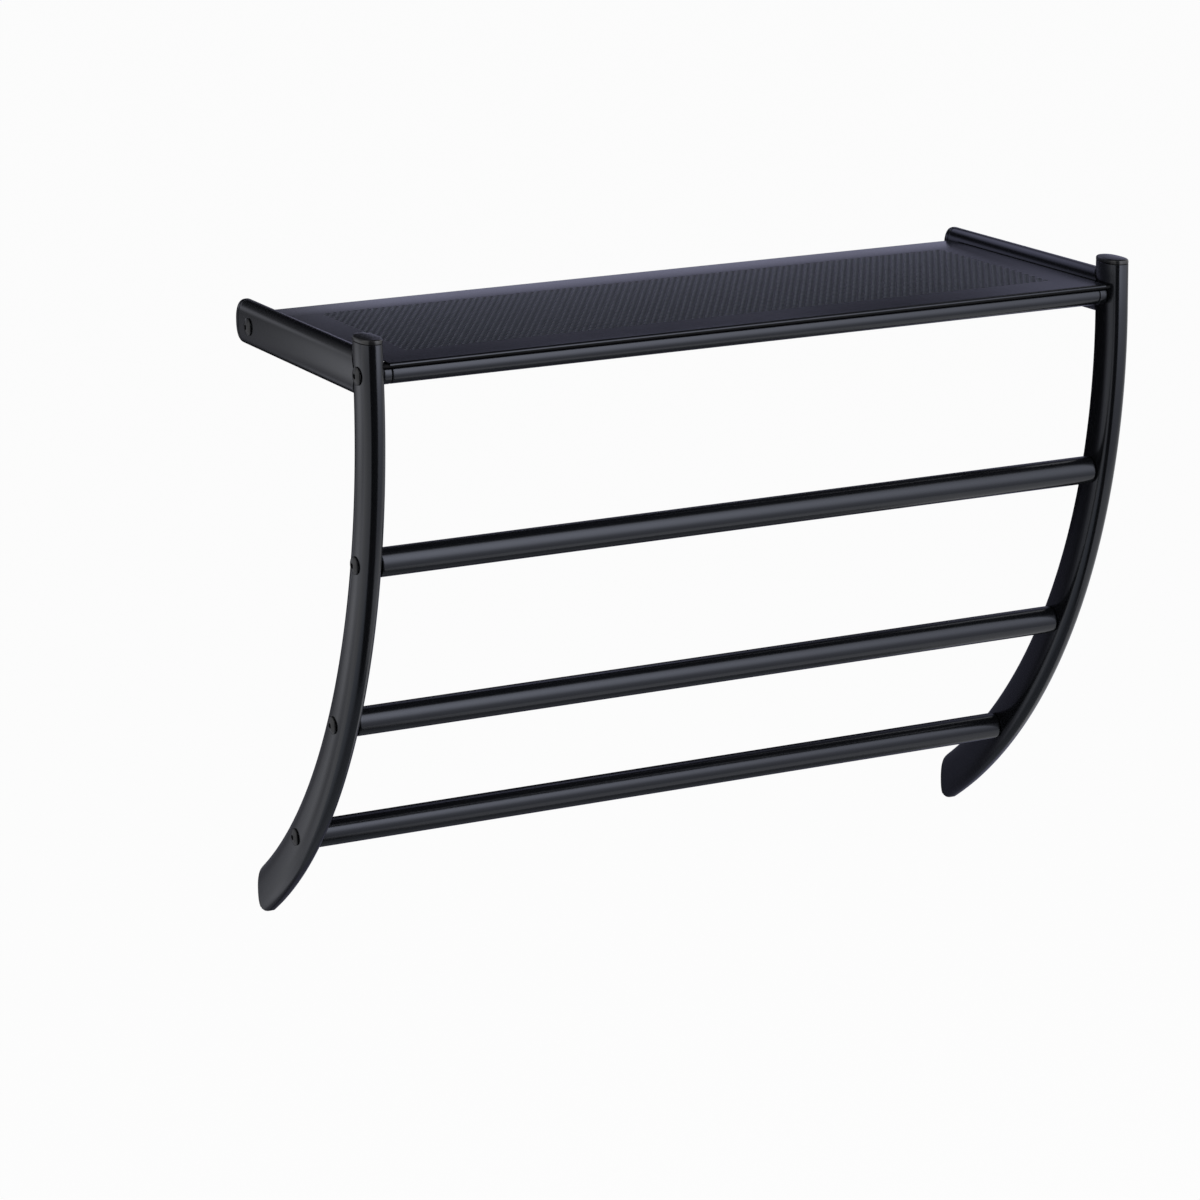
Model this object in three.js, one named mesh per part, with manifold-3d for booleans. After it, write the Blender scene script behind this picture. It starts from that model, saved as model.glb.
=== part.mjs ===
// Wall-hung towel rack with a shelf, in millimetres.
// +X is to the right, the wall is the plane Y = 0, the front faces -Y and +Z is up.
// The origin lies on the wall, midway between the two side arms, at their centre height.
import * as THREE from "three";
import { mergeVertices } from "three/addons/utils/BufferGeometryUtils.js";
import Module from "manifold-3d";

const wasm = await Module();
wasm.setup();

// Overall sizes: from the tips of the feet to the caps, from the wall to the front, over the screw heads
const height = 440;
const depth = 230;
const width = 565;

// Clearance between pieces that meet, and how far a cutter runs past what it cuts
const fitGap = 0.3;
const cutOver = 2;

// Flat-oval tube of the uprights and the arms, deep from front to back or from top to bottom
const tubeDeep = 30;
const tubeWide = 15;
const tubeWall = 1.5;
const ovalPower = 2.5;

// Uprights: a straight top, then one even bend back to the wall, with the cut foot's corners rounded
const straightTop = 35;
const tipRadius = 4;
const heelRadius = 10;
const armDrop = 25;

// Places of the bars along an upright's centre line, from the top
const upperBarAlong = 151;
const middleBarAlong = 278.5;
const lowerBarAlong = 402.5;

// Plugs and caps of the uprights
const capThick = 3.5;
const capRound = 1.5;
const capSpigot = 10;
const footFlange = 2;
const footSpigot = 18;

// Wall bracket in each arm, with its bore for the wall screw
const bracketNose = 7;
const bracketRound = 4;
const bracketBody = 30;
const bracketBore = 4.5;
const bracketSink = 8;
const bracketSinkDeep = 3;
const bracketScrewFromWall = 26;
const bracketScrewWeb = 0.9;

// Tenon that joins each arm to its upright
const tenonPlug = 20;
const tongueWide = 7;
const tongueHigh = 17;
const tongueLip = 2;

// Screws with a low domed head and a hexagon recess
const headSize = 12;
const headHigh = 2.2;
const headRim = 0.7;
const shankSize = 6;
const recessSize = 4;
const recessDeep = 1.4;
const screwReach = 12;

// Round tubes: three towel bars, and the thinner rail under the shelf's front with its collars
const barSize = 19;
const barWall = 1.2;
const barPlugLong = 22;
const railSize = 14;
const collarLong = 5.5;

// Shelf sheet, rolled round a rod at its front and rear edges
const sheetThick = 0.8;
const rodSize = 2.4;
const sheetSideGap = 3;
const sheetWallGap = 15;
const rollTurn = 1.4 * Math.PI;

// Staggered round openings of the sheet: few and large, with the same open share as the fine
// perforation they stand for, which is 4 mm holes at a pitch of 4.95 mm. The borders are counted
// from the rolls and from the sheet's ends.
const openingSize = 34;
const openingWeb = 6;
const openingBorder = 30;
const openingEndBorder = 24;

// Facet counts
const ovalSides = 24;
const boreSides = 12;
const screwSides = 16;
const barSides = 32;
const rodSides = 12;
const recessSides = 6;
const openingSides = 8;
const bendSteps = 18;
const roundSteps = 3;
const arcSteps = 6;

// Sizes that follow
const uprightX = width / 2 - headHigh - fitGap - tubeWide / 2;
const uprightY = -(depth - tubeDeep / 2);
const armFrontY = -(depth - tubeDeep) + fitGap;
const topZ = armDrop;
const footZ = armDrop - height;
const innerDeep = tubeDeep - 2 * tubeWall;
const innerWide = tubeWide - 2 * tubeWall;
const plugDeep = innerDeep - 2 * fitGap;
const plugWide = innerWide - 2 * fitGap;
const barHalf = uprightX - tubeWide / 2 - fitGap;
const railHalf = barHalf - collarLong - fitGap;
const screwHole = shankSize + 2 * fitGap;

// The bend's radius and centre follow from the height, the depth and the straight top:
// the circle through the tip's rounding ends the foot exactly at footZ
const bendHigh = height - straightTop - tipRadius;
const bendRadius = (bendHigh ** 2 / (depth - 2 * tipRadius) - tubeDeep / 2 - uprightY) / 2;
const bendY = uprightY + bendRadius;
const bendZ = topZ - straightTop;
const outerRadius = bendRadius + tubeDeep / 2;
const innerRadius = bendRadius - tubeDeep / 2;

// Shelf levels: the sheet lies on the rail, and its front roll hangs in front of the rail
const sheetUnderZ = railSize / 2 + fitGap;
const sheetTopZ = sheetUnderZ + sheetThick;
const rollInner = rodSize / 2 + fitGap;
const rollOuter = rollInner + sheetThick;
const rollZ = sheetTopZ - rollOuter;
const frontRollY = uprightY - Math.sqrt((railSize / 2 + fitGap + rollOuter) ** 2 - rollZ ** 2);
const rearRollY = -sheetWallGap - rollOuter;
const sheetHalf = barHalf - sheetSideGap;
const rodHalf = uprightX - tubeWide / 2 + tubeWall - fitGap;
const rodHole = rodSize + 2 * fitGap;
const openingPitch = openingSize + openingWeb;
const openingRowStep = openingPitch * Math.sin(Math.PI / 3);

const satinBlack = new THREE.MeshStandardMaterial({ color: 0x15161a, roughness: 0.42, metalness: 0.1 });
const blackPlastic = new THREE.MeshStandardMaterial({ color: 0x17181b, roughness: 0.55, metalness: 0 });
const blackScrew = new THREE.MeshStandardMaterial({ color: 0x1b1c20, roughness: 0.35, metalness: 0.4 });

const alongX = new THREE.Vector3(1, 0, 0);
const alongY = new THREE.Vector3(0, 1, 0);
const alongZ = new THREE.Vector3(0, 0, 1);

// Drawn as seen from the right: an outline's x runs to the wall and its y up, its depth to the right
const sideView = new THREE.Matrix4().makeBasis(alongY, alongZ, alongX);
// An oval whose long axis stands up, its depth to the wall
const armView = new THREE.Matrix4().makeBasis(alongZ, alongX, alongY);
// An oval whose long axis runs to the wall, its depth up
const topView = new THREE.Matrix4().makeBasis(alongY, alongX.clone().negate(), alongZ);

// A closed geometry as a solid that can be joined and cut
function solid(geometry) {
  const bare = geometry.clone();
  bare.deleteAttribute("normal");
  bare.deleteAttribute("uv");
  const merged = mergeVertices(bare);
  const corners = merged.index.array;
  const kept = [];
  for (let i = 0; i < corners.length; i += 3) {
    const [a, b, c] = [corners[i], corners[i + 1], corners[i + 2]];
    if (a !== b && b !== c && c !== a) kept.push(a, b, c);
  }
  return new wasm.Manifold(new wasm.Mesh({
    numProp: 3,
    vertProperties: new Float32Array(merged.attributes.position.array),
    triVerts: new Uint32Array(kept),
  }));
}

// A named mesh of a solid
function piece(name, shape, material, x = 0, y = 0, z = 0) {
  const { vertProperties, triVerts } = shape.getMesh();
  const geometry = new THREE.BufferGeometry();
  geometry.setAttribute("position", new THREE.BufferAttribute(vertProperties, 3));
  geometry.setIndex(new THREE.BufferAttribute(triVerts, 1));
  geometry.computeVertexNormals();
  const mesh = new THREE.Mesh(geometry, material);
  mesh.name = name;
  mesh.position.set(x, y, z);
  return mesh;
}

function circlePoints(size, sides) {
  return Array.from({ length: sides }, (_, i) => {
    const angle = (2 * Math.PI * (i + 0.5)) / sides;
    return new THREE.Vector2((size / 2) * Math.cos(angle), (size / 2) * Math.sin(angle));
  });
}

// A superellipse: rounder than a flat oval, fuller than an ellipse
function ovalPoints(deep, wide) {
  const bulge = (value) => Math.sign(value) * Math.abs(value) ** (2 / ovalPower);
  return Array.from({ length: ovalSides }, (_, i) => {
    const angle = (2 * Math.PI * i) / ovalSides;
    return new THREE.Vector2((deep / 2) * bulge(Math.cos(angle)), (wide / 2) * bulge(Math.sin(angle)));
  });
}

function outline(points, holePoints) {
  const shape = new THREE.Shape(points);
  if (holePoints) shape.holes.push(new THREE.Path(holePoints));
  return shape;
}

// An outline drawn out in a straight line from start to end along its view's depth, then moved
function prism(shape, view, start, end, x = 0, y = 0, z = 0) {
  const geometry = new THREE.ExtrudeGeometry(shape, {
    depth: Math.abs(end - start),
    bevelEnabled: false,
    curveSegments: arcSteps,
  });
  geometry.translate(0, 0, Math.min(start, end)).applyMatrix4(view);
  return solid(geometry.translate(x, y, z));
}

// A round tube along X, from its outer and inner sizes
function tubeAlongX(outerSize, innerSize, sides, innerSides, long) {
  const shape = outline(circlePoints(outerSize, sides), circlePoints(innerSize, innerSides));
  return prism(shape, sideView, -long / 2, long / 2);
}

// A round rod or cutter along X at a place seen from the side
function roundAlongX(size, sides, start, end, y, z) {
  return prism(outline(circlePoints(size, sides)), sideView, start, end, 0, y, z);
}

// A box between two depths, as wide and high as asked, at the height of the arms
function block(wide, high, startY, endY) {
  const geometry = new THREE.BoxGeometry(wide, endY - startY, high);
  return solid(geometry.translate(0, (startY + endY) / 2, 0));
}

// Rings of the same number of points joined into a closed body with flat ends
function loft(rings, view) {
  const count = rings[0].points.length;
  const positions = rings.flatMap(({ points, at }) => points.flatMap((point) => [point.x, point.y, at]));
  const last = (rings.length - 1) * count;
  const index = [];
  for (let i = 0; i < count; i++) {
    const next = (i + 1) % count;
    for (let ring = 0; ring < last; ring += count) {
      index.push(ring + i, ring + next, ring + count + next);
      index.push(ring + i, ring + count + next, ring + count + i);
    }
    if (i > 0 && next > 0) index.push(0, next, i, last, last + i, last + next);
  }
  const geometry = new THREE.BufferGeometry();
  geometry.setAttribute("position", new THREE.Float32BufferAttribute(positions, 3));
  geometry.setIndex(index);
  return solid(geometry.applyMatrix4(view));
}

// Rings of a plug's spigot and of the oval lid or nose over it, whose far edge is rounded off
function pluggedOval(spigotLong, lidLong, round) {
  const spigot = ovalPoints(plugDeep, plugWide);
  const rings = [{ points: spigot, at: -lidLong - spigotLong }, { points: spigot, at: -lidLong }];
  rings.push({ points: ovalPoints(tubeDeep, tubeWide), at: -lidLong });
  for (let step = 0; step <= roundSteps; step++) {
    const angle = (Math.PI / 2) * (step / roundSteps);
    const inset = 2 * round * (1 - Math.cos(angle));
    const points = ovalPoints(tubeDeep - inset, tubeWide - inset);
    rings.push({ points, at: -round * (1 - Math.sin(angle)) });
  }
  return rings;
}

// An upright's centre line by distance from the top of its cap, seen from the side
function pointAlong(distance) {
  if (distance <= straightTop) return { y: uprightY, z: topZ - distance };
  const turn = (distance - straightTop) / bendRadius;
  return { y: bendY - bendRadius * Math.cos(turn), z: bendZ - bendRadius * Math.sin(turn) };
}

const tubeStart = capThick + fitGap;
const tubeEnd = straightTop + bendRadius * Math.acos(bendY / outerRadius) + cutOver;

// The centre line from under the cap to just past the wall
class UprightLine extends THREE.Curve {
  getPoint(share, target = new THREE.Vector3()) {
    const { y, z } = pointAlong(tubeStart + share * (tubeEnd - tubeStart));
    return target.set(0, y, z);
  }
}

// An outline swept along the centre line, its x toward the front and its y across
function sweep(shape) {
  const extrudePath = new UprightLine();
  return solid(new THREE.ExtrudeGeometry(shape, { steps: bendSteps, bevelEnabled: false, extrudePath }));
}

const ovalTube = outline(ovalPoints(tubeDeep, tubeWide), ovalPoints(innerDeep, innerWide));
const pastTube = tubeWide / 2 + cutOver;
const insideWall = tubeWide / 2 - tubeWall - cutOver;

const stations = {
  shelf: pointAlong(armDrop),
  upper: pointAlong(upperBarAlong),
  middle: pointAlong(middleBarAlong),
  lower: pointAlong(lowerBarAlong),
};

// All that lies in front of the wall, with the foot's two corners rounded. Under the tip the edge
// leaves along the outer bend's tangent, over the heel it crosses inside the inner bend.
function footOutline() {
  const tipZ = bendZ - Math.sqrt((outerRadius - tipRadius) ** 2 - (bendY + tipRadius) ** 2);
  const heelZ = bendZ - Math.sqrt((innerRadius + heelRadius) ** 2 - (bendY + heelRadius) ** 2);
  const tipAngle = Math.atan2(tipZ - bendZ, -tipRadius - bendY);
  const heelAngle = Math.atan2(bendZ - heelZ, bendY + heelRadius);
  const tangentY = tipRadius * (Math.cos(tipAngle) - 1);
  const tangentZ = tipZ + tipRadius * Math.sin(tipAngle);
  const frontY = -depth - cutOver;
  const backY = -(depth - tubeDeep) + cutOver;
  const shape = new THREE.Shape();
  shape.moveTo(frontY, topZ + cutOver);
  shape.lineTo(frontY, tangentZ + (tangentY - frontY) / Math.tan(tipAngle));
  shape.absarc(-tipRadius, tipZ, tipRadius, tipAngle, 0, false);
  shape.absarc(-heelRadius, heelZ, heelRadius, 0, heelAngle, false);
  shape.lineTo(backY, bendZ);
  shape.lineTo(backY, topZ + cutOver);
  return prism(shape, sideView, -pastTube, pastTube);
}

// A slice of the room in front of the wall, wide and high enough for a whole upright
function slice(startY, endY) {
  return block(2 * pastTube, 2 * height + 2 * cutOver, startY, endY);
}

// Upright: a bent tube with a clear hole through both walls at each bar, a slot in its back for the
// arm's tongue and a hole in its inner wall for the shelf's front rod
function uprightShape(side) {
  const whole = sweep(ovalTube).intersect(footOutline());
  let shape = whole.intersect(slice(-depth - cutOver, -footFlange - fitGap));
  for (const { y, z } of Object.values(stations)) {
    shape = shape.subtract(roundAlongX(screwHole, boreSides, -pastTube, pastTube, y, z));
  }
  const slot = block(tongueWide + 2 * fitGap, tongueHigh + 2 * fitGap, uprightY, armFrontY + cutOver);
  shape = shape.subtract(slot);
  const rodBore = roundAlongX(rodHole, rodSides, -side * insideWall, -side * pastTube, frontRollY, rollZ);
  return shape.subtract(rodBore);
}

// Cap: a thin oval lid with a rounded edge over its spigot
function capShape() {
  return loft(pluggedOval(capSpigot, capThick, capRound), topView);
}

// Foot plug: a flange that ends the tube on the wall, over a spigot that follows the bend
function footPlugShape() {
  const flange = sweep(outline(ovalPoints(tubeDeep, tubeWide))).intersect(slice(-footFlange, cutOver));
  const inside = sweep(outline(ovalPoints(plugDeep, plugWide)));
  const spigot = inside.intersect(slice(-footFlange - footSpigot, cutOver));
  return flange.add(spigot).intersect(footOutline());
}

// Side arm: a straight oval tube on edge, with holes for the bracket's screw and the shelf's rear rod
function armShape(side) {
  const shape = prism(ovalTube, armView, armFrontY, -bracketNose - fitGap);
  const screwBore =
    roundAlongX(screwHole, boreSides, side * insideWall, side * pastTube, -bracketScrewFromWall, 0);
  const rodBore = roundAlongX(rodHole, rodSides, -side * insideWall, -side * pastTube, rearRollY, rollZ);
  return shape.subtract(screwBore).subtract(rodBore);
}

// Tenon: a plug in the arm's front end, whose tongue reaches into the upright round the rail's screw
function tenonShape() {
  const section = outline(ovalPoints(plugDeep, plugWide));
  const plug = prism(section, armView, armFrontY, armFrontY + tenonPlug);
  const tongueEnd = uprightY - screwHole / 2 - tongueLip;
  const tongue = block(tongueWide, tongueHigh, tongueEnd, armFrontY + cutOver);
  return plug.add(tongue).subtract(roundAlongX(screwHole, boreSides, -pastTube, pastTube, uprightY, 0));
}

// Wall bracket: a rounded nose on the wall and a body inside the arm, bored for the wall screw and,
// from its outer side, for the screw that locks the arm
function bracketShape(side) {
  const endY = -bracketNose - bracketBody;
  const bore = prism(outline(circlePoints(bracketBore, boreSides)), armView, endY - cutOver, cutOver);
  const sinkOutline = outline(circlePoints(bracketSink, boreSides));
  const sink = prism(sinkOutline, armView, endY - cutOver, endY + bracketSinkDeep);
  const lockStart = side * (bracketBore / 2 + bracketScrewWeb);
  const lock = roundAlongX(screwHole, boreSides, lockStart, side * pastTube, -bracketScrewFromWall, 0);
  const body = loft(pluggedOval(bracketBody, bracketNose, bracketRound), armView);
  return body.subtract(bore).subtract(sink).subtract(lock);
}

// Screw: its head's seat lies in the plane X = 0, the head points to +X
function screwShape(long) {
  const profile = [
    new THREE.Vector2(0, -long),
    new THREE.Vector2(shankSize / 2, -long),
    new THREE.Vector2(shankSize / 2, 0),
  ];
  for (let step = 0; step <= roundSteps; step++) {
    const outShare = 1 - step / roundSteps;
    if (step === 0) profile.push(new THREE.Vector2(headSize / 2, 0));
    const rise = headRim + (headHigh - headRim) * (1 - outShare ** 2);
    profile.push(new THREE.Vector2((headSize / 2) * outShare, rise));
  }
  const turned = solid(new THREE.LatheGeometry(profile, screwSides).applyMatrix4(armView));
  const recess = roundAlongX(recessSize, recessSides, headHigh - recessDeep, headHigh + cutOver, 0, 0);
  return turned.subtract(recess);
}

// Cutters of the sheet's openings: as many rows, and openings in a row, as its borders leave room for
function openingCutters() {
  const round = outline(circlePoints(openingSize, openingSides));
  const pitches = Math.floor((2 * (sheetHalf - openingEndBorder) - openingSize) / openingPitch);
  const rowSteps = Math.floor((rearRollY - frontRollY - 2 * openingBorder - openingSize) / openingRowStep);
  const cutters = [];
  for (let row = 0; row <= rowSteps; row++) {
    const y = (frontRollY + rearRollY - rowSteps * openingRowStep) / 2 + row * openingRowStep;
    const rowPitches = pitches - (row % 2);
    for (let place = 0; place <= rowPitches; place++) {
      const x = (place - rowPitches / 2) * openingPitch;
      cutters.push(prism(round, topView, sheetUnderZ - cutOver, sheetTopZ + cutOver, x, y));
    }
  }
  return cutters;
}

// Shelf: one perforated sheet over the rail, rolled down round a rod at its front and its rear edge
function shelfShape() {
  const up = Math.PI / 2;
  const shape = new THREE.Shape();
  shape.absarc(frontRollY, rollZ, rollOuter, up, up + rollTurn, false);
  shape.absarc(frontRollY, rollZ, rollInner, up + rollTurn, up, true);
  shape.absarc(rearRollY, rollZ, rollInner, up, up - rollTurn, true);
  shape.absarc(rearRollY, rollZ, rollOuter, up - rollTurn, up, false);
  const sheet = prism(shape, sideView, -sheetHalf, sheetHalf);
  return openingCutters().reduce((cut, cutter) => cut.subtract(cutter), sheet);
}

// One side frame: upright, arm, bracket, plugs and screws, drawn round its tube's middle plane
function sideFrame(name, side) {
  const frame = new THREE.Group();
  frame.position.x = side * uprightX;
  const seatX = side * (tubeWide / 2 + fitGap);
  const screw = (what, long, y, z) => {
    const mesh = piece(`${name}_${what}`, screwShape(long), blackScrew, seatX, y, z);
    mesh.rotation.z = side > 0 ? 0 : Math.PI;
    return mesh;
  };
  const barScrewLong = tubeWide + 2 * fitGap + screwReach;
  const railScrewLong = barScrewLong + collarLong + fitGap;
  const lockScrewLong = tubeWide / 2 - bracketBore / 2 - bracketScrewWeb;
  frame.add(
    piece(`${name}_upright`, uprightShape(side), satinBlack),
    piece(`${name}_top_cap`, capShape(), blackPlastic, 0, uprightY, topZ),
    piece(`${name}_foot_plug`, footPlugShape(), blackPlastic),
    piece(`${name}_side_arm`, armShape(side), satinBlack),
    piece(`${name}_arm_tenon`, tenonShape(), satinBlack),
    piece(`${name}_wall_bracket`, bracketShape(side), satinBlack),
    screw("bracket_screw", lockScrewLong, -bracketScrewFromWall, 0),
  );
  for (const [bar, { y, z }] of Object.entries(stations)) {
    frame.add(screw(`${bar}_bar_screw`, bar === "shelf" ? railScrewLong : barScrewLong, y, z));
  }
  return frame;
}

// One round bar with a bored plug in each end
function barWithPlugs(name, size, half, { y, z }) {
  const bar = new THREE.Group();
  bar.position.set(0, y, z);
  const innerSize = size - 2 * barWall;
  bar.add(piece(name, tubeAlongX(size, innerSize, barSides, boreSides, 2 * half), satinBlack));
  for (const [end, side] of [["left", -1], ["right", 1]]) {
    const plug = tubeAlongX(innerSize - 2 * fitGap, screwHole, boreSides, boreSides, barPlugLong);
    bar.add(piece(`${name}_${end}_plug`, plug, blackPlastic, side * (half - barPlugLong / 2), 0, 0));
  }
  return bar;
}

const rack = new THREE.Group();
rack.add(sideFrame("left", -1), sideFrame("right", 1));
rack.add(barWithPlugs("shelf_rail", railSize, railHalf, stations.shelf));
rack.add(barWithPlugs("upper_towel_bar", barSize, barHalf, stations.upper));
rack.add(barWithPlugs("middle_towel_bar", barSize, barHalf, stations.middle));
rack.add(barWithPlugs("lower_towel_bar", barSize, barHalf, stations.lower));
for (const [end, side] of [["left", -1], ["right", 1]]) {
  const collar = tubeAlongX(railSize, screwHole, barSides, boreSides, collarLong);
  const collarX = side * (barHalf - collarLong / 2);
  rack.add(piece(`${end}_rail_collar`, collar, satinBlack, collarX, stations.shelf.y, stations.shelf.z));
}
rack.add(piece("shelf_panel", shelfShape(), satinBlack));
const rod = roundAlongX(rodSize, rodSides, -rodHalf, rodHalf, 0, 0);
rack.add(piece("shelf_front_rod", rod, satinBlack, 0, frontRollY, rollZ));
rack.add(piece("shelf_rear_rod", rod, satinBlack, 0, rearRollY, rollZ));

export default rack;
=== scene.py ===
"""Towel rack with a perforated shelf: smooth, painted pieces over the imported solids, with a floor, soft light
and a camera."""

import math

import bpy
import numpy as np
from mathutils import Matrix


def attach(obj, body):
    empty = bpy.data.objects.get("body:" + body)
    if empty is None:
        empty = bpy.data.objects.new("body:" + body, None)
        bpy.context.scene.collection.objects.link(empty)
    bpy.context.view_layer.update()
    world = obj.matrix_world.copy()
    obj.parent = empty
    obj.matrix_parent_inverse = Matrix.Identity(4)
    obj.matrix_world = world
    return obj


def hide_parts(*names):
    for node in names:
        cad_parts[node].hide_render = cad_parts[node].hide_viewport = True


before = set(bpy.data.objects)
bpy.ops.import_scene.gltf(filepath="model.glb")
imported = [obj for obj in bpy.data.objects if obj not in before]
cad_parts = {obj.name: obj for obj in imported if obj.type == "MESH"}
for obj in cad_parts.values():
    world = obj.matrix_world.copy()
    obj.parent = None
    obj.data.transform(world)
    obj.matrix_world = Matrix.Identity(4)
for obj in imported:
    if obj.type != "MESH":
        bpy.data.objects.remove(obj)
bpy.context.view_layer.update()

# Sizes in millimetres, the same ones as in the part's source
MM = 0.001
HEIGHT, DEPTH, WIDTH = 440.0, 230.0, 565.0
GAP = 0.3
TUBE_DEEP, TUBE_WIDE, TUBE_WALL, OVAL_POWER = 30.0, 15.0, 1.5, 2.5
STRAIGHT_TOP, TIP_RADIUS, HEEL_RADIUS, ARM_DROP = 35.0, 4.0, 10.0, 25.0
UPPER_ALONG, MIDDLE_ALONG, LOWER_ALONG = 151.0, 278.5, 402.5
CAP_THICK, FOOT_FLANGE = 3.5, 2.0
BRACKET_NOSE, BRACKET_BODY, BRACKET_ROUND, LOCK_FROM_WALL = 7.0, 30.0, 4.0, 26.0
HEAD_SIZE, HEAD_HIGH, HEAD_RIM, SHANK_SIZE = 12.0, 2.2, 0.7, 6.0
RECESS_SIZE, RECESS_DEEP = 4.0, 1.4
BAR_SIZE, RAIL_SIZE, COLLAR_LONG = 19.0, 14.0, 5.5
SHEET_THICK, ROD_SIZE, SHEET_SIDE_GAP, SHEET_WALL_GAP = 0.8, 2.4, 3.0, 15.0

# How far the sheet turns round its rods: an open lip in front, the full roll at the rear
FRONT_TURN, REAR_TURN = 0.41 * math.pi, 1.4 * math.pi

# The sheet's holes: staggered rows along X, with plain borders round them
HOLE_SIZE, HOLE_PITCH = 4.0, 4.95
HOLE_ROWS, HOLES_IN_ROW, FIELD_FRONT = 34, 96, -192.5

# Small edge rounds, and how far from them a tube has one more ring, which keeps its shading straight
TUBE_EDGE, BAR_EDGE, ROD_EDGE, CAP_EDGE = 0.35, 0.6, 0.5, 1.6
EVEN_FROM_EDGE = 1.0

# How finely the round forms are cut
OVAL_POINTS, BAR_POINTS, ROD_POINTS, SCREW_POINTS, HOLE_POINTS = 96, 96, 32, 48, 12
BEND_STEPS, ROLL_STEPS = 110, 22
NOSE_STEPS, CAP_STEPS, BAR_EDGE_STEPS, TUBE_EDGE_STEPS = 8, 6, 5, 3
SHARP_FROM = math.radians(34.0)

# Sizes that follow
UPRIGHT_X = WIDTH / 2 - HEAD_HIGH - GAP - TUBE_WIDE / 2
UPRIGHT_Y = TUBE_DEEP / 2 - DEPTH
BAR_HALF = UPRIGHT_X - TUBE_WIDE / 2 - GAP
RAIL_HALF = BAR_HALF - COLLAR_LONG - GAP
ROD_HALF = UPRIGHT_X - TUBE_WIDE / 2 + TUBE_WALL - GAP
BEND_HIGH = HEIGHT - STRAIGHT_TOP - TIP_RADIUS
BEND_RADIUS = (BEND_HIGH**2 / (DEPTH - 2 * TIP_RADIUS) - TUBE_DEEP / 2 - UPRIGHT_Y) / 2
BEND_Y = UPRIGHT_Y + BEND_RADIUS
BEND_Z = ARM_DROP - STRAIGHT_TOP
OUTER_RADIUS = BEND_RADIUS + TUBE_DEEP / 2
INNER_RADIUS = BEND_RADIUS - TUBE_DEEP / 2
TIP_Z = BEND_Z - math.sqrt((OUTER_RADIUS - TIP_RADIUS) ** 2 - (BEND_Y + TIP_RADIUS) ** 2)
HEEL_Z = BEND_Z - math.sqrt((INNER_RADIUS + HEEL_RADIUS) ** 2 - (BEND_Y + HEEL_RADIUS) ** 2)
SHEET_HALF = BAR_HALF - SHEET_SIDE_GAP
SHEET_UNDER = RAIL_SIZE / 2 + GAP
SHEET_TOP = SHEET_UNDER + SHEET_THICK
ROLL_INNER = ROD_SIZE / 2 + GAP
ROLL_OUTER = ROLL_INNER + SHEET_THICK
ROLL_Z = SHEET_TOP - ROLL_OUTER
FRONT_ROLL = UPRIGHT_Y - math.sqrt((SHEET_UNDER + ROLL_OUTER) ** 2 - ROLL_Z**2)
REAR_ROLL = -SHEET_WALL_GAP - ROLL_OUTER
ROW_HIGH = HOLE_PITCH * math.sqrt(3) / 2
FIELD_REAR = FIELD_FRONT + ROW_HIGH * HOLE_ROWS
SIDES = {"left": -1, "right": 1}


# ---- shader maths


class Value:
    """A shader value; an expression on values adds its Math nodes."""

    def __init__(self, finish, socket):
        self.finish = finish
        self.socket = socket

    def math(self, operation, *values):
        return self.finish.node("ShaderNodeMath", {"operation": operation}, dict(enumerate(values)))

    def __add__(self, other):
        return self.math("ADD", self, other)

    def __radd__(self, other):
        return self.math("ADD", other, self)

    def __sub__(self, other):
        return self.math("SUBTRACT", self, other)

    def __rsub__(self, other):
        return self.math("SUBTRACT", other, self)

    def __mul__(self, other):
        return self.math("MULTIPLY", self, other)

    def __rmul__(self, other):
        return self.math("MULTIPLY", other, self)

    def __truediv__(self, other):
        return self.math("DIVIDE", self, other)

    def __rtruediv__(self, other):
        return self.math("DIVIDE", other, self)

    def __gt__(self, other):
        return self.math("GREATER_THAN", self, other)

    def __lt__(self, other):
        return self.math("LESS_THAN", self, other)

    def larger(self, other):
        return self.math("MAXIMUM", self, other)


class Finish:
    """The nodes of one material or of the world."""

    def __init__(self, tree):
        self.tree = tree
        tree.nodes.clear()

    def node(self, kind, settings=None, inputs=None, output=0):
        """One node: its settings first, then its sockets' values or links; gives the output asked for."""
        made = self.tree.nodes.new(kind)
        for name, setting in (settings or {}).items():
            if name == "stops":
                elements = made.color_ramp.elements
                elements[0].position, elements[1].position = setting[0][0], setting[-1][0]
                for place, _ in setting[1:-1]:
                    elements.new(place)
                for element, (_, colour) in zip(elements, setting):
                    element.color = colour
            else:
                setattr(made, name, setting)
        for name, given in (inputs or {}).items():
            if isinstance(given, Value):
                self.tree.links.new(given.socket, made.inputs[name])
            else:
                made.inputs[name].default_value = given
        return Value(self, made.outputs[output])

    def part(self, vector, axis):
        return self.node("ShaderNodeSeparateXYZ", {}, {"Vector": vector}, axis)

    def end(self, shader, kind="ShaderNodeOutputMaterial"):
        made = self.tree.nodes.new(kind)
        self.tree.links.new(shader.socket, made.inputs["Surface"])


def new_finish(name):
    material = bpy.data.materials.new(name)
    material.use_nodes = True
    return material, Finish(material.node_tree)


def grey(level):
    return (level, level, level, 1.0)


def noise(finish, place, scale, detail):
    return finish.node("ShaderNodeTexNoise", {}, {"Vector": place, "Scale": scale, "Detail": detail})


def blend(finish, share, start, end):
    """A colour between two; the Mix node has them at its sockets 6 and 7, and its colour at output 2."""
    return finish.node("ShaderNodeMix", {"data_type": "RGBA"}, {0: share, 6: start, 7: end}, 2)


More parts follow.
